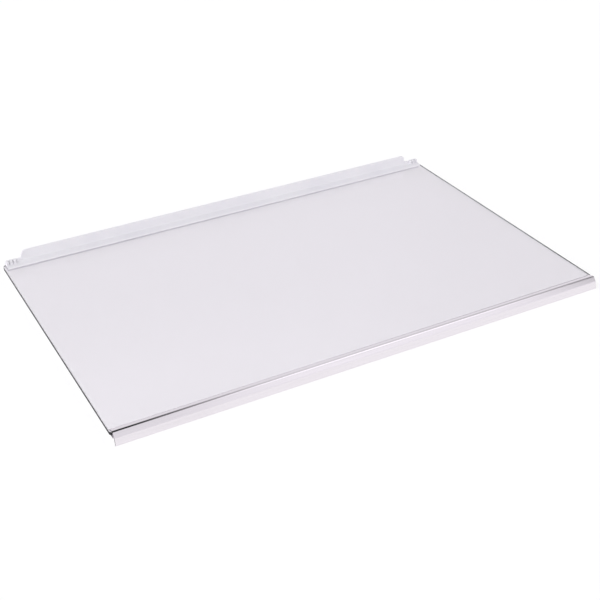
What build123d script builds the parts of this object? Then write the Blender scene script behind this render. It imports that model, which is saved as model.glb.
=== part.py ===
from build123d import *
from math import hypot
import os

# Glass shelf for a refrigerator, in millimetres: a toughened pane with a trim pushed onto its
# front edge and another onto its rear edge.
# The sections are drawn from the front edge of the glass (Y) and from its underside (Z), with +Y
# to the rear. The finished pieces then move so that the origin is the middle of the shelf's base.

# Glass pane
glass_width = 475.0
glass_depth = 299.0
glass_thickness = 4.0
glass_corner_radius = 3.0
glass_arris = 0.6

# Fit of the trims: the channels close on the glass faces and stop this far from its edge
edge_clearance = 0.2

# Front trim, one extruded section: lip on the glass, nose, sloping brow, hanging fascia
front_end_inset = 1.4
front_wall = 1.3
front_lip_cover = 3.0
front_lip_edge = 0.7
front_lip_rise = 1.5
front_flange_cover = 6.5
front_flange_thickness = 1.3
nose_radius = 2.0
brow_reach = 3.6
brow_drop = 4.2
fascia_reach = 1.5
fascia_drop = 6.75
crease_radius = 2.5
front_edge_round = 0.3

# Rear trim, one moulding: flange on the glass, foot under it, web behind it, and an upright back with
# a raised stop that stands on the flange, a little in from the rear edge of the glass
rear_end_inset = 2.5
rear_flange_cover = 11.3
rear_flange_edge = 1.3
rear_flange_nose = 1.0
rear_flange_root = 2.2
rear_foot_cover = 8.5
rear_foot_thickness = 1.6
rear_web = 1.5
rear_ledge = 1.6
back_setback = 2.8
back_thickness = 2.0
back_root_radius = 1.5
back_low_rise = 1.0
stop_end_inset = 15.9
stop_crown_radius = 4.5
stop_side_rise = 0.2
stop_sweep_radius = 3.0
back_end_radius = 1.5
back_edge_round = 0.6
rear_edge_round = 0.5

# Ribs that stand on each low end of the rear trim
rib_count = 3
rib_thickness = 2.3
rib_pitch = 3.5
rib_end_margin = 0.5
rib_reach = 3.2
rib_rise = 0.8
rib_nose_radius = 1.5

# Heights and depths that follow from the sizes above
front_web_rear = -edge_clearance
front_web_front = front_web_rear - front_wall
lip_top = glass_thickness + front_lip_rise
brow_foot = (front_web_front - brow_reach, lip_top - brow_drop)
fascia_foot = (brow_foot[0] - fascia_reach, brow_foot[1] - fascia_drop)
front_length = glass_width - 2 * front_end_inset

web_front = glass_depth + edge_clearance
web_rear = web_front + rear_web
back_front = glass_depth - back_setback
back_rear = back_front + back_thickness
flange_top = glass_thickness + rear_flange_root
ledge_top = glass_thickness + rear_ledge
low_top = flange_top + back_root_radius + back_low_rise
stop_top = low_top + stop_sweep_radius + stop_side_rise + stop_crown_radius
rear_underside = -rear_foot_thickness
rear_length = glass_width - 2 * rear_end_inset


def polygon(points):
    return make_face(Polyline(points, close=True))


def rounded_at(section, point, radius):
    corner = section.vertices().sort_by_distance(Vector(*point))[0]
    return fillet([corner], radius)


def along_shelf(section, length):
    # A section drawn as (depth, height) becomes a bar along X, centred on the shelf
    return extrude(Plane.YZ * section, length / 2, both=True)


def moved_inwards(start, end, distance):
    # The line from start to end, shifted to its left, which is the hidden side of the fascia
    run = (end[0] - start[0], end[1] - start[1])
    size = hypot(*run)
    shift = (-run[1] / size * distance, run[0] / size * distance)
    return (start[0] + shift[0], start[1] + shift[1]), (end[0] + shift[0], end[1] + shift[1])


def crossing(first, second):
    # Where two lines, each given by two points, meet
    (x1, y1), (x2, y2) = first
    (x3, y3), (x4, y4) = second
    spread = (x1 - x2) * (y3 - y4) - (y1 - y2) * (x3 - x4)
    a = x1 * y2 - y1 * x2
    b = x3 * y4 - y3 * x4
    return (a * (x3 - x4) - (x1 - x2) * b) / spread, (a * (y3 - y4) - (y1 - y2) * b) / spread


def glass_pane():
    outline = RectangleRounded(glass_width, glass_depth, glass_corner_radius)
    pane = extrude(Pos(0, glass_depth / 2, 0) * outline, glass_thickness)
    rims = pane.edges().group_by(Axis.Z)[0] + pane.edges().group_by(Axis.Z)[-1]
    return chamfer(rims, glass_arris)


def front_trim():
    # Channel that closes on the top and the underside of the glass
    nose = (front_web_front, lip_top)
    lip_edge = (front_lip_cover, glass_thickness + front_lip_edge)
    flange_foot = (front_flange_cover, -front_flange_thickness)
    web_foot = (front_web_front, -front_flange_thickness)
    slot_top = [(front_lip_cover, glass_thickness), (front_web_rear, glass_thickness)]
    slot_foot = [(front_web_rear, 0), (front_flange_cover, 0)]
    channel = polygon([nose, lip_edge] + slot_top + slot_foot + [flange_foot, web_foot])

    # Sloping brow and hanging fascia, one wall thick
    brow_back = moved_inwards(nose, brow_foot, front_wall)
    fascia_back = moved_inwards(brow_foot, fascia_foot, front_wall)
    bend = crossing(brow_back, fascia_back)
    foot_level = ((0, fascia_foot[1]), (1, fascia_foot[1]))
    wall_foot = crossing(fascia_back, foot_level)
    brow_root = crossing(brow_back, (nose, web_foot))
    apron = polygon([nose, brow_foot, fascia_foot, wall_foot, bend, brow_root])

    section = channel + apron
    section = rounded_at(section, nose, nose_radius)
    section = rounded_at(section, brow_foot, crease_radius)
    for corner in (lip_edge, fascia_foot, wall_foot, flange_foot, web_foot):
        section = rounded_at(section, corner, front_edge_round)
    return along_shelf(section, front_length)


def rear_channel():
    # Channel section with a hollow round where the flange meets the back, and a ledge behind the back
    flange_edge = (glass_depth - rear_flange_cover, glass_thickness + rear_flange_edge)
    foot_edge = (glass_depth - rear_foot_cover, rear_underside)
    root_start = (back_front - back_root_radius, flange_top)
    root_end = (back_front, flange_top + back_root_radius)
    outline = Curve() + [
        Line((flange_edge[0], glass_thickness), flange_edge),
        Line(flange_edge, root_start),
        RadiusArc(root_start, root_end, -back_root_radius),
        Polyline(
            root_end,
            (back_rear, root_end[1]),
            (back_rear, ledge_top),
            (web_rear, ledge_top),
            (web_rear, rear_underside),
            foot_edge,
            (foot_edge[0], 0),
            (web_front, 0),
            (web_front, glass_thickness),
            (flange_edge[0], glass_thickness),
        ),
    ]
    section = rounded_at(make_face(outline), flange_edge, rear_flange_nose)
    for corner in (foot_edge, (web_rear, rear_underside), (web_rear, ledge_top)):
        section = rounded_at(section, corner, rear_edge_round)
    return along_shelf(section, rear_length)


def rear_back():
    # Upright back: low at both ends, swept up to the stop between them
    half = rear_length / 2
    stop_half = half - stop_end_inset
    crowns = [(-stop_half, stop_top), (stop_half, stop_top)]
    sweeps = [(-stop_half, low_top), (stop_half, low_top)]
    ends = [(-half, low_top), (half, low_top)]
    feet = [(-half, glass_thickness), (half, glass_thickness)]
    outline = polygon([feet[0], feet[1], ends[1], sweeps[1], crowns[1], crowns[0], sweeps[0], ends[0]])
    roundings = ((crowns, stop_crown_radius), (sweeps, stop_sweep_radius), (ends, back_end_radius))
    for corners, radius in roundings:
        for corner in corners:
            outline = rounded_at(outline, corner, radius)
    facing = Plane((0, back_front, 0), x_dir=(1, 0, 0), z_dir=(0, -1, 0))
    back = extrude(facing * outline, -back_thickness)
    rim = back.edges().filter_by(lambda edge: edge.center().Z > low_top - back_end_radius)
    across = rim.filter_by(Axis.Y)
    return fillet(rim - across, back_edge_round)


def end_ribs():
    # Upright ribs on the flange, against the low part of the back, mirrored to the other end
    foot_y = back_front - rib_reach
    top = low_top + rib_rise
    side = polygon([(foot_y, glass_thickness), (foot_y, top), (back_rear, top), (back_rear, glass_thickness)])
    for corner in ((foot_y, top), (back_rear, top)):
        side = rounded_at(side, corner, rib_nose_radius)
    rib = extrude(Plane.YZ * side, rib_thickness / 2, both=True)
    first = rear_length / 2 - rib_end_margin - rib_thickness / 2
    places = [sign * (first - index * rib_pitch) for index in range(rib_count) for sign in (-1, 1)]
    return [Pos(place, 0, 0) * rib for place in places]


def rear_trim():
    trim = rear_channel() + rear_back()
    for rib in end_ribs():
        trim = trim + rib
    return trim


pieces = {"glass_pane": glass_pane(), "front_trim": front_trim(), "rear_trim": rear_trim()}

# The origin is the middle of the shelf's base, at the level of its lowest edge
shelf_box = Compound(list(pieces.values())).bounding_box()
to_origin = Pos(0, -shelf_box.center().Y, -shelf_box.min.Z)

os.makedirs("parts", exist_ok=True)
for name, piece in pieces.items():
    placed = to_origin * piece
    export_step(placed, f"parts/{name}.step")
    box = placed.bounding_box()
    print(name, "volume", round(piece.volume), "low", box.min, "high", box.max)
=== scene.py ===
import bmesh
import bpy
from math import cos, radians, sin, tan
from mathutils import Matrix, Vector


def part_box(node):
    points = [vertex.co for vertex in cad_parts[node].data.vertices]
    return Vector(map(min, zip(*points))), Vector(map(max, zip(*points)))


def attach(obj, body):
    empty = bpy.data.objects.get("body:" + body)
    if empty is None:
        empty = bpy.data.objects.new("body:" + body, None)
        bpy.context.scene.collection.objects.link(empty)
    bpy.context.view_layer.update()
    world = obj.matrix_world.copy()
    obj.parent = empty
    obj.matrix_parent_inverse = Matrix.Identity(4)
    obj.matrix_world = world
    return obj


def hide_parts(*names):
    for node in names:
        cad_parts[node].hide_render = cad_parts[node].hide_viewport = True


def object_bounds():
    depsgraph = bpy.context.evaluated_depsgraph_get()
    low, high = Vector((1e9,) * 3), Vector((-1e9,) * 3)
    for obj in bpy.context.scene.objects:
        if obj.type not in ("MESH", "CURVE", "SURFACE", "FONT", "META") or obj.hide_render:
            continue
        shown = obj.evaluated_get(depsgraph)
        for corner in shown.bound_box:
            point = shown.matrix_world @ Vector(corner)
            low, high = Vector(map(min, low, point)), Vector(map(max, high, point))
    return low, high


# fridge glass shelf: a clear pane with a silver trim on its front edge and a white one on its rear edge
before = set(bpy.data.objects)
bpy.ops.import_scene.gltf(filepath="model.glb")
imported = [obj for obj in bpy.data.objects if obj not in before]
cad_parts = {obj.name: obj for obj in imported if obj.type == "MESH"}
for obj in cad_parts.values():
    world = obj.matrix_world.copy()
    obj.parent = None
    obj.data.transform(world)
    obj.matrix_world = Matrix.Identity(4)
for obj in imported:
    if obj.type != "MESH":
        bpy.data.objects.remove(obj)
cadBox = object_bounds()
print("frame loaded:", sorted(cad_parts))

mm = 0.001
facing = 0.9     # a face whose normal has this share of an axis counts as facing along it
paneLow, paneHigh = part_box("glass_pane")
frontLow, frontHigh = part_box("front_trim")
rearLow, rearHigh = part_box("rear_trim")
depth, thickness = (paneHigh.y - paneLow.y) / mm, (paneHigh.z - paneLow.z) / mm


def linear(hexText):
    # sRGB hex to the linear colour that shaders take
    parts = [int(hexText[i:i + 2], 16) / 255 for i in (1, 3, 5)]
    return [c / 12.92 if c <= 0.04045 else ((c + 0.055) / 1.055) ** 2.4 for c in parts] + [1.0]


def addNode(tree, kind, values=None, links=None, **settings):
    # one node with its settings, its socket values and the sockets that feed it
    node = tree.nodes.new(kind)
    for key, value in settings.items():
        setattr(node, key, value)
    for socket, value in (values or {}).items():
        node.inputs[socket].default_value = value
    for socket, source in (links or {}).items():
        tree.links.new(source, node.inputs[socket])
    return node


def newMaterial(name):
    # an empty material, ready for nodes
    material = bpy.data.materials.new(name)
    material.use_nodes = True
    material.node_tree.nodes.clear()
    return material, material.node_tree


# noise of all grained finishes
grained = {
    "detail": 2.0,
    "low": 0.35, "high": 0.65,     # nearly all of the noise lies between these
    "bump": 0.3,                   # share of the relief that the grain shows
}


def grainedMaterial(look):
    # slow clouds drift the tone between two hexes, a finer grain drives roughness and bump
    material, tree = newMaterial(look["name"])
    coords = addNode(tree, "ShaderNodeTexCoord")
    patterns = {}
    for key in ("cloud", "grain"):
        scale = [1 / (size * mm) for size in look[key]]
        sized = addNode(tree, "ShaderNodeMapping", {"Scale": scale}, {"Vector": coords.outputs["Object"]})
        noise = addNode(tree, "ShaderNodeTexNoise", {"Scale": 1.0, "Detail": grained["detail"]},
                        {"Vector": sized.outputs["Vector"]})
        patterns[key] = noise.outputs["Fac"]
    low, high = grained["low"], grained["high"]
    tone = addNode(tree, "ShaderNodeValToRGB", links={"Fac": patterns["cloud"]})
    stops = ((low, look["dark"]), (high, look["light"]))
    for element, (place, hexText) in zip(tone.color_ramp.elements, stops):
        element.position, element.color = place, linear(hexText)
    smoothest, roughest = look["rough"]
    rough = addNode(tree, "ShaderNodeMapRange",
                    {"From Min": low, "From Max": high, "To Min": smoothest, "To Max": roughest},
                    {"Value": patterns["grain"]})
    bump = addNode(tree, "ShaderNodeBump", {"Strength": grained["bump"], "Distance": look["relief"] * mm},
                   {"Height": patterns["grain"]})
    shader = addNode(tree, "ShaderNodeBsdfPrincipled", look["shader"],
                     {"Base Color": tone.outputs["Color"], "Roughness": rough.outputs["Result"],
                      "Normal": bump.outputs["Normal"]})
    addNode(tree, "ShaderNodeOutputMaterial", links={"Surface": shader.outputs["BSDF"]})
    return material


def sectionPoint(across, up):
    # point of a section: across from the front edge of the glass, up from its underside, in mm
    return Vector((0, paneLow.y + across * mm, paneLow.z + up * mm))


def bevel(bm, geom, offset, segments, affect="EDGES"):
    # rounds edges, or the corners of a flat face; one segment gives a chamfer
    bmesh.ops.bevel(bm, geom=geom, affect=affect, offset=offset, offset_type="OFFSET", segments=segments,
                    profile=0.5, material=-1, clamp_overlap=False)


def roundedFace(bm, corners, place, segments):
    # flat face through (across, up, radius) corners, each rounded to its own radius
    points = [place(across, up) for across, up, radius in corners]
    verts = [bm.verts.new(point) for point in points]
    bm.faces.new(verts)
    for i, (across, up, radius) in enumerate(corners):
        if radius > 0:
            before, after = points[i] - points[i - 1], points[(i + 1) % len(points)] - points[i]
            reach = radius * mm * tan(before.angle(after) / 2)     # where the rounding starts on both sides
            bevel(bm, [verts[i]], reach, segments, "VERTICES")
    bm.faces.ensure_lookup_table()
    return bm.faces[0]


def pushOut(bm, face, along):
    # extrudes a flat face into a closed bar
    swept = bmesh.ops.extrude_face_region(bm, geom=[face])
    moved = [v for v in swept["geom"] if isinstance(v, bmesh.types.BMVert)]
    bmesh.ops.translate(bm, vec=along, verts=moved)
    bmesh.ops.recalc_face_normals(bm, faces=bm.faces[:])


def sectionBar(corners, startX, length, segments):
    # bar along the shelf from the corners of its section
    bm = bmesh.new()
    face = roundedFace(bm, corners, sectionPoint, segments)
    bmesh.ops.translate(bm, vec=(startX, 0, 0), verts=bm.verts[:])
    pushOut(bm, face, (length, 0, 0))
    return bm


def looseObject(name, bm):
    # plain object from a finished mesh
    mesh = bpy.data.meshes.new(name)
    bm.to_mesh(mesh)
    bm.free()
    thing = bpy.data.objects.new(name, mesh)
    bpy.context.scene.collection.objects.link(thing)
    return thing


def finishPiece(name, bm, materials, node, sharpAngle):
    # piece with its finishes, riding on the shelf in place of its CAD node
    piece = looseObject(name, bm)
    for material in materials:
        piece.data.materials.append(material)
    piece.data.shade_smooth()
    piece.data.set_sharp_from_angle(angle=radians(sharpAngle))
    even = piece.modifiers.new("evenNormals", "WEIGHTED_NORMAL")
    even.keep_sharp = True     # and wide flats stay flat beside small roundings
    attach(piece, "root")
    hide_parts(node)
    print(name, "faces", len(piece.data.polygons))


# glass pane: corners rounded on the grinder, both rims taken off with an arris
pane = {
    "cornerRadius": 3.0, "arris": 0.6,     # mm
    "cornerSteps": 10,
    "sharpAngle": 30,         # degrees, edges that turn less than this shade smooth
    "tint": "#eeebf0",        # faint lilac-grey against white
    "ior": 1.52,              # soda-lime float glass
    "rollerPitch": 270.0,     # mm, ripple left by the rollers of the toughening furnace
    "rollerDepth": 0.02,      # mm
    "rollerSway": 0.6,        # the ripple strays a little from straight lines
    "rollerDetail": 1.0,
    "wipeSize": 90.0,         # mm, patches of slightly duller surface
    "wipeDetail": 3.0,
    "wipeFrom": 0.45, "wipeFull": 0.75,     # part of the noise over which the glass turns dull
    "wipeRough": 0.03,
}
# ground edge: satin and hardly clear; its near-black colour is painted shade, standing for the darkness seen
# where the eye looks along the whole pane
groundEdgePaintedShade = {
    "name": "groundGlassEdgePaintedShade", "light": "#3e3d3f", "dark": "#353436",
    "cloud": (12.0, 12.0, 2.0), "grain": (0.9, 0.9, 0.9),     # mm, grain about ten times too coarse, to show
    "rough": (0.5, 0.6), "relief": 0.004,
    "shader": {"IOR": pane["ior"], "Specular IOR Level": 0.0, "Transmission Weight": 0.3},
}
# seamed arris: narrow strip frosted by the grinding belt, so it reads as light as the glass beside it; its
# light tone is partly that frost and partly a painted highlight along the rim
frostAndHighlightArris = {
    "name": "seamedGlassArrisFrostAndHighlight", "light": "#f2f0f4", "dark": "#eceaee",
    "cloud": (9.0, 9.0, 2.0), "grain": (0.7, 0.7, 0.7),       # mm, grain about ten times too coarse, to show
    "rough": (0.45, 0.6), "relief": 0.004,
    "shader": {"IOR": pane["ior"], "Transmission Weight": 0.5},
}


def toughenedGlass():
    # toughened float glass, fire-polished: clear, mirror-smooth, very slightly rippled
    material, tree = newMaterial("toughenedFloatGlass")
    coords = addNode(tree, "ShaderNodeTexCoord")
    wipe = addNode(tree, "ShaderNodeTexNoise",
                   {"Scale": 1 / (pane["wipeSize"] * mm), "Detail": pane["wipeDetail"]},
                   {"Vector": coords.outputs["Object"]})
    dull = addNode(tree, "ShaderNodeMapRange",
                   {"From Min": pane["wipeFrom"], "From Max": pane["wipeFull"], "To Max": pane["wipeRough"]},
                   {"Value": wipe.outputs["Fac"]})
    waveLength = 0.314     # of a wave texture at scale 1
    ripple = addNode(tree, "ShaderNodeTexWave",
                     {"Scale": waveLength / (pane["rollerPitch"] * mm), "Distortion": pane["rollerSway"],
                      "Detail": pane["rollerDetail"]},
                     {"Vector": coords.outputs["Object"]}, bands_direction="Y")
    bump = addNode(tree, "ShaderNodeBump", {"Strength": 1.0, "Distance": pane["rollerDepth"] * mm},
                   {"Height": ripple.outputs["Fac"]})
    shader = addNode(tree, "ShaderNodeBsdfPrincipled",
                     {"Base Color": linear(pane["tint"]), "IOR": pane["ior"], "Transmission Weight": 1.0},
                     {"Roughness": dull.outputs["Result"], "Normal": bump.outputs["Normal"]})
    addNode(tree, "ShaderNodeOutputMaterial", links={"Surface": shader.outputs["BSDF"]})
    return material


def makePane():
    bm = bmesh.new()
    size, middle = paneHigh - paneLow, (paneHigh + paneLow) / 2
    bmesh.ops.create_cube(bm, size=1.0, matrix=Matrix.Translation(middle) @ Matrix.Diagonal((*size, 1.0)))
    upright = [e for e in bm.edges if abs(e.verts[0].co.z - e.verts[1].co.z) > size.z / 2]
    bevel(bm, upright, pane["cornerRadius"] * mm, pane["cornerSteps"])
    rims = [e for e in bm.edges if any(abs(f.normal.z) > facing for f in e.link_faces)]
    bevel(bm, rims, pane["arris"] * mm, 1)
    finishes = [toughenedGlass(), grainedMaterial(groundEdgePaintedShade), grainedMaterial(frostAndHighlightArris)]
    clear, ground, seamed = range(len(finishes))
    # sides take the ground edge with its painted shade, rims the arris with its partly painted highlight
    for face in bm.faces:
        lean = abs(face.normal.z)
        face.material_index = clear if lean > facing else ground if lean < 1 - facing else seamed
    finishPiece("glassPane", bm, finishes, "glass_pane", pane["sharpAngle"])


# how both trims sit on the glass
fit = {
    "gap": 0.2,      # mm, from the edge of the glass to the bottom of the channel
    "film": 0.03,    # mm of air on the faces of the glass, so that trim and glass don't share a plane
}
seatTop, seatUnder = thickness + fit["film"], -fit["film"]

# front trim: one extruded section, lip on the glass, nose, sloping brow, hanging fascia
front = {
    "wall": 1.3, "lipCover": 3.0, "lipEdge": 0.7, "lipRise": 1.5,     # mm, like all of its sizes
    "flangeCover": 6.5, "flange": 1.3,
    "browReach": 3.6, "browDrop": 4.2, "fasciaReach": 1.5, "fasciaDrop": 6.75,
    "noseRadius": 2.0, "creaseRadius": 2.5, "edgeRadius": 0.3,
    "roundSteps": 10, "sharpAngle": 25,
    "brightFrom": 3.2,        # above the underside of the glass: lip and nose are polished
}
# satin silver film: near-white metal with faint lines along its length
satinSilver = {
    "name": "satinSilverFilm", "light": "#efeaef", "dark": "#ebe6eb",
    "cloud": (70.0, 0.8, 0.8), "grain": (70.0, 0.8, 0.8),     # mm, lines about three times too coarse, to show
    "rough": (0.19, 0.25), "relief": 0.01, "shader": {"Metallic": 1.0},
}
# polished silver film: the same metal, burnished on lip and nose so that it mirrors the room
brightSilver = dict(satinSilver, name="brightSilverFilm", rough=(0.09, 0.15))
# ends where the bar was cut to length: the near-black colour is painted shade, standing for the shaded hollow
# at the open end of the section
shadedEndFinish = {
    "name": "cutEndPaintedShade", "light": "#2a282c", "dark": "#1c1b1e",
    "cloud": (3.0, 3.0, 3.0), "grain": (0.4, 3.0, 0.4),       # mm, saw marks
    "rough": (0.6, 0.75), "relief": 0.02, "shader": {"IOR": 1.53, "Specular IOR Level": 0.2},
}


def crossing(start, along, level, axis):
    # point on the line from start along a direction where its coordinate reaches a level
    return start + along * ((level - start[axis]) / along[axis])


def frontSection():
    # corners of the section (across, up, radius) in order round its outline
    webRear = -fit["gap"]
    webFront = webRear - front["wall"]
    nose = Vector((webFront, thickness + front["lipRise"]))
    browFoot = nose + Vector((-front["browReach"], -front["browDrop"]))
    fasciaFoot = browFoot + Vector((-front["fasciaReach"], -front["fasciaDrop"]))
    brow, fascia = (browFoot - nose).normalized(), (fasciaFoot - browFoot).normalized()
    browBack = nose + Vector((-brow.y, brow.x)) * front["wall"]        # a point on each inner line
    fasciaBack = browFoot + Vector((-fascia.y, fascia.x)) * front["wall"]
    wallFoot = crossing(fasciaBack, fascia, fasciaFoot.y, 1)
    # inner bend: where the two inner lines meet
    spread = brow.x * fascia.y - brow.y * fascia.x
    apart = fasciaBack - browBack
    bend = browBack + brow * ((apart.x * fascia.y - apart.y * fascia.x) / spread)
    browRoot = crossing(browBack, brow, webFront, 0)
    small = front["edgeRadius"]
    return [
        (front["lipCover"], seatTop, 0), (front["lipCover"], thickness + front["lipEdge"], small),
        (*nose, front["noseRadius"]), (*browFoot, front["creaseRadius"]), (*fasciaFoot, small),
        (*wallFoot, small), (*bend, front["creaseRadius"] - front["wall"]), (*browRoot, 0),
        (webFront, -front["flange"], small), (front["flangeCover"], -front["flange"], small),
        (front["flangeCover"], seatUnder, 0), (webRear, seatUnder, 0), (webRear, seatTop, 0),
    ]


def makeFrontTrim():
    bm = sectionBar(frontSection(), frontLow.x, frontHigh.x - frontLow.x, front["roundSteps"])
    finishes = [grainedMaterial(look) for look in (satinSilver, brightSilver, shadedEndFinish)]
    satin, bright, shadedEnd = range(len(finishes))
    brightLevel = paneLow.z + front["brightFrom"] * mm
    # end faces take the painted shade, lip and nose the polished film, the rest the satin film
    for face in bm.faces:
        high = face.calc_center_median().z > brightLevel
        face.material_index = shadedEnd if abs(face.normal.x) > facing else bright if high else satin
    finishPiece("frontTrim", bm, finishes, "front_trim", front["sharpAngle"])


# rear trim: one moulding, channel on the glass, upright back swept up to the stop, ribs on the low ends
rear = {
    "web": 1.5, "ledge": 1.6, "edgeRadius": 0.5,     # mm, like all of its sizes
    "flangeCover": 11.3, "flangeEdge": 1.3, "flangeNose": 1.0, "flangeRoot": 2.2,
    "footCover": 8.5, "foot": 1.6,
    "setback": 2.8, "back": 2.0, "rootRadius": 1.5, "lowRise": 1.0, "stopInset": 15.9,
    "crownRadius": 4.5, "sideRise": 0.2, "sweepRadius": 3.0, "endRadius": 1.5, "backRound": 0.6,
    "ribCount": 3, "rib": 2.3, "ribPitch": 3.5, "ribMargin": 0.5,
    "ribReach": 3.2, "ribRise": 0.8, "ribNose": 1.5,
    "roundSteps": 8, "rimSteps": 4, "sharpAngle": 30,
    "rootShare": 0.98,        # of the root's radius, so that its rounding clears the corners beside it
    "rimSlack": 0.05,         # takes the rounded ends into the rim
    "weld": 0.002,            # merges doubled points after the join
}
# injection-moulded ABS: satin, faintly grained, cool white
mouldedWhite = {
    "name": "mouldedWhiteAbs", "light": "#e0dfe2", "dark": "#dcdbdf",
    "cloud": (45.0, 45.0, 45.0), "grain": (0.8, 0.8, 0.8),    # mm, grain about three times too coarse, to show
    "rough": (0.36, 0.46), "relief": 0.02, "shader": {"IOR": 1.54},
}
# depths and heights that its parts share, in mm
rearHalf = (rearHigh.x - rearLow.x) / 2 / mm
backFront, backRear = depth - rear["setback"], depth - rear["setback"] + rear["back"]
flangeTop = thickness + rear["flangeRoot"]
rootTop = flangeTop + rear["rootRadius"]
lowTop = rootTop + rear["lowRise"]


def backPoint(across, up):
    # point on the front face of the back: across from the middle of the shelf, up from the glass underside
    return Vector((across * mm, paneHigh.y - rear["setback"] * mm, paneLow.z + up * mm))


def rearChannel():
    # channel with the hollow round at the root of the back and the ledge behind it
    webFront, webRear = depth + fit["gap"], depth + fit["gap"] + rear["web"]
    flangeFront, footFront = depth - rear["flangeCover"], depth - rear["footCover"]
    ledgeTop = thickness + rear["ledge"]
    small = rear["edgeRadius"]
    section = [
        (flangeFront, seatTop, 0), (flangeFront, thickness + rear["flangeEdge"], rear["flangeNose"]),
        (backFront - rear["rootRadius"], flangeTop, 0),
        (backFront, flangeTop, rear["rootRadius"] * rear["rootShare"]),
        (backFront, rootTop, 0), (backRear, rootTop, 0), (backRear, ledgeTop, 0),
        (webRear, ledgeTop, small), (webRear, -rear["foot"], small), (footFront, -rear["foot"], small),
        (footFront, seatUnder, 0), (webFront, seatUnder, 0), (webFront, seatTop, 0),
    ]
    bm = sectionBar(section, rearLow.x, rearHigh.x - rearLow.x, rear["roundSteps"])
    return looseObject("rearChannel", bm)


def rearBack():
    # upright back with its stop, low at both ends
    stopHalf = rearHalf - rear["stopInset"]
    stopTop = lowTop + rear["sweepRadius"] + rear["sideRise"] + rear["crownRadius"]
    outline = [
        (-rearHalf, seatTop, 0), (rearHalf, seatTop, 0), (rearHalf, lowTop, rear["endRadius"]),
        (stopHalf, lowTop, rear["sweepRadius"]), (stopHalf, stopTop, rear["crownRadius"]),
        (-stopHalf, stopTop, rear["crownRadius"]), (-stopHalf, lowTop, rear["sweepRadius"]),
        (-rearHalf, lowTop, rear["endRadius"]),
    ]
    bm = bmesh.new()
    face = roundedFace(bm, outline, backPoint, rear["roundSteps"])
    pushOut(bm, face, (0, rear["back"] * mm, 0))
    rimFrom = paneLow.z + (lowTop - rear["endRadius"] - rear["rimSlack"]) * mm
    high = [e for e in bm.edges if min(v.co.z for v in e.verts) > rimFrom]
    rim = [e for e in high if any(abs(f.normal.y) > facing for f in e.link_faces)]
    bevel(bm, rim, rear["backRound"] * mm, rear["rimSteps"])
    return looseObject("rearBack", bm)


def endRibs():
    # ribs on the low ends, mirrored to the other end
    ribFront, ribTop = backFront - rear["ribReach"], lowTop + rear["ribRise"]
    side = [(ribFront, seatTop, 0), (ribFront, ribTop, rear["ribNose"]),
            (backRear, ribTop, rear["ribNose"]), (backRear, seatTop, 0)]
    first = rearHalf - rear["ribMargin"] - rear["rib"] / 2
    centres = [sign * (first - i * rear["ribPitch"]) for sign in (-1, 1) for i in range(rear["ribCount"])]
    starts = [(centre - rear["rib"] / 2) * mm for centre in centres]
    bars = [sectionBar(side, start, rear["rib"] * mm, rear["roundSteps"]) for start in starts]
    return [looseObject("rib", bar) for bar in bars]


def makeRearTrim():
    # one moulding: back and ribs join into the channel
    channel, parts = rearChannel(), [rearBack()] + endRibs()
    for part in parts:
        join = channel.modifiers.new("join", "BOOLEAN")
        join.operation, join.solver, join.object = "UNION", "EXACT", part
    joined = bpy.data.meshes.new_from_object(channel.evaluated_get(bpy.context.evaluated_depsgraph_get()))
    for thing in [channel] + parts:
        bpy.data.objects.remove(thing)
    bm = bmesh.new()
    bm.from_mesh(joined)
    bmesh.ops.remove_doubles(bm, verts=bm.verts[:], dist=rear["weld"] * mm)
    finishes = [grainedMaterial(mouldedWhite)]
    finishPiece("rearTrim", bm, finishes, "rear_trim", rear["sharpAngle"])


makePane()
makeFrontTrim()
makeRearTrim()

# floor and light: a white table under a white dome with dimmer, brighter and dark areas
studio = {
    "floorSize": 12.0,        # m
    "floorDrop": 0.05,        # mm, keeps the table just clear of the part's foot
    "floor": "#fefefe", "white": "#ffffff",
    "whiteShare": 0.74,       # share of the floor seen as plain white, the rest keeps the shadow
    "dome": "#fdfcff", "level": 1.0,
    # each area: its level, then its soft edges as (axis of direction, where it starts, where it is full)
    "areas": {
        "left": (1.7, [("X", 0.1, -0.3)]),
        "overhead": (0.79, [("X", 0.1, 0.3), ("Y", -0.35, -0.2), ("Y", 0.75, 0.65)]),
        "rear": (0.7, [("X", -0.1, 0.2), ("Y", 0.35, 0.6), ("Z", 0.62, 0.5)]),
        "right": (0.52, [("X", 0.42, 0.62), ("Y", -0.1, 0.1)]),
        "horizon": (0.88, [("X", -0.1, 0.2), ("Y", 0.35, 0.6), ("Z", 0.38, 0.3)]),
        "frontLeft": (0.86, [("X", 0.0, 0.1), ("X", 0.4, 0.28), ("Y", -0.5, -0.62)]),
        "frontBox": (1.03, [("X", 0.26, 0.4), ("X", 0.62, 0.52), ("Y", -0.5, -0.62)]),
        "frontRight": (0.95, [("X", 0.46, 0.6), ("Y", -0.3, -0.5)]),
        "stripBox": (2.11, [("X", 0.13, 0.27), ("X", 0.6, 0.5),
                            ("Y", -0.607, -0.547), ("Y", -0.326, -0.386)]),
        "leftGap": (0.0, [("X", -0.05, 0.03), ("X", 0.38, 0.22),
                          ("Y", -0.625, -0.545), ("Y", 0.78, 0.68)]),
        "rightGap": (0.0, [("X", 0.554, 0.654), ("X", 0.82, 0.7),
                           ("Y", -0.622, -0.522), ("Y", 0.394, 0.254)]),
    },
}


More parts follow.
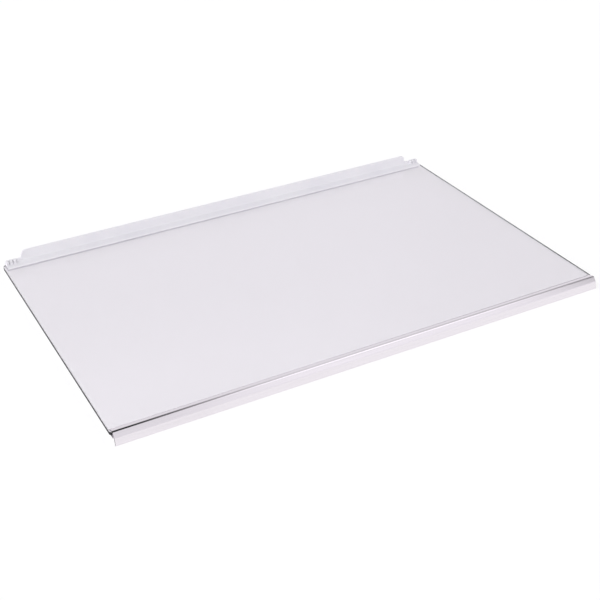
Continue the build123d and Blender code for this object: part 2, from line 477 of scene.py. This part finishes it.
def makeFloor():
    bm = bmesh.new()
    level = cadBox[0].z - studio["floorDrop"] * mm
    bmesh.ops.create_grid(bm, x_segments=1, y_segments=1, size=studio["floorSize"] / 2,
                          matrix=Matrix.Translation((0, 0, level)))
    floor = looseObject("floor", bm)
    # white table: matt paint, plain white to the eye and in mirror and glass, apart from a soft shadow
    material, tree = newMaterial("whiteTable")
    path = addNode(tree, "ShaderNodeLightPath")
    seen = path.outputs["Is Camera Ray"]
    for kind in ("Is Glossy Ray", "Is Transmission Ray"):
        seen = addNode(tree, "ShaderNodeMath", links={0: seen, 1: path.outputs[kind]},
                       operation="MAXIMUM").outputs[0]
    share = addNode(tree, "ShaderNodeMath", {1: studio["whiteShare"]}, {0: seen}, operation="MULTIPLY")
    matt = addNode(tree, "ShaderNodeBsdfDiffuse", {"Color": linear(studio["floor"])})
    white = addNode(tree, "ShaderNodeEmission", {"Color": linear(studio["white"]), "Strength": 1.0})
    mixed = addNode(tree, "ShaderNodeMixShader",
                    links={0: share.outputs[0], 1: matt.outputs[0], 2: white.outputs[0]})
    addNode(tree, "ShaderNodeOutputMaterial", links={"Surface": mixed.outputs[0]})
    floor.data.materials.append(material)


def makeWorld():
    world = bpy.data.worlds.new("studioDome")
    bpy.context.scene.world = world
    world.use_nodes = True
    tree = world.node_tree
    tree.nodes.clear()
    coords = addNode(tree, "ShaderNodeTexCoord")
    axes = addNode(tree, "ShaderNodeSeparateXYZ", links={"Vector": coords.outputs["Generated"]})
    level = None
    for areaLevel, edges in studio["areas"].values():
        share = None
        for axis, start, full in edges:
            edge = addNode(tree, "ShaderNodeMapRange", {"From Min": start, "From Max": full},
                           {"Value": axes.outputs[axis]}, interpolation_type="SMOOTHSTEP").outputs["Result"]
            share = edge if share is None else addNode(tree, "ShaderNodeMath", links={0: share, 1: edge},
                                                       operation="MULTIPLY").outputs[0]
        mixed = addNode(tree, "ShaderNodeMix", {"A": studio["level"], "B": areaLevel}, {"Factor": share})
        if level is not None:
            tree.links.new(level, mixed.inputs["A"])     # each area lies over those before it
        level = mixed.outputs["Result"]
    light = addNode(tree, "ShaderNodeBackground", {"Color": linear(studio["dome"])}, {"Strength": level})
    # the eye meets plain white behind the table
    path = addNode(tree, "ShaderNodeLightPath")
    backdrop = addNode(tree, "ShaderNodeBackground", {"Color": linear(studio["white"]), "Strength": 1.0})
    mixed = addNode(tree, "ShaderNodeMixShader",
                    links={0: path.outputs["Is Camera Ray"], 1: light.outputs[0], 2: backdrop.outputs[0]})
    addNode(tree, "ShaderNodeOutputWorld", links={"Surface": mixed.outputs[0]})


# camera: where the photograph was taken from
view = {
    "at": (-424.62, -674.71, 534.43),    # mm, from the middle of the front edge of the glass underside
    "azimuth": -27.639, "elevation": 31.263, "roll": -1.218,   # degrees
    "lens": 67.638, "sensor": 36.0,      # mm
}


def makeCamera():
    turn, rise, roll = (radians(view[key]) for key in ("azimuth", "elevation", "roll"))
    back = Vector((sin(turn) * cos(rise), -cos(turn) * cos(rise), sin(rise)))
    side = (-back).cross(Vector((0, 0, 1))).normalized()
    up = side.cross(-back)
    right, top = side * cos(roll) + up * sin(roll), up * cos(roll) - side * sin(roll)
    data = bpy.data.cameras.new("camera")
    data.sensor_width, data.lens = view["sensor"], view["lens"]
    camera = bpy.data.objects.new("camera", data)
    x, across, height = view["at"]
    place = sectionPoint(across, height) + Vector((x * mm, 0, 0))
    camera.matrix_world = Matrix.Translation(place) @ Matrix((right, top, back)).transposed().to_4x4()
    bpy.context.scene.collection.objects.link(camera)
    bpy.context.scene.camera = camera


makeFloor()
makeWorld()
makeCamera()
bpy.context.scene.view_settings.view_transform = "Standard"
bpy.context.scene.cycles.blur_glossy = 0.0   # light that falls through the glass keeps its strength
print("stage, light and camera ready")
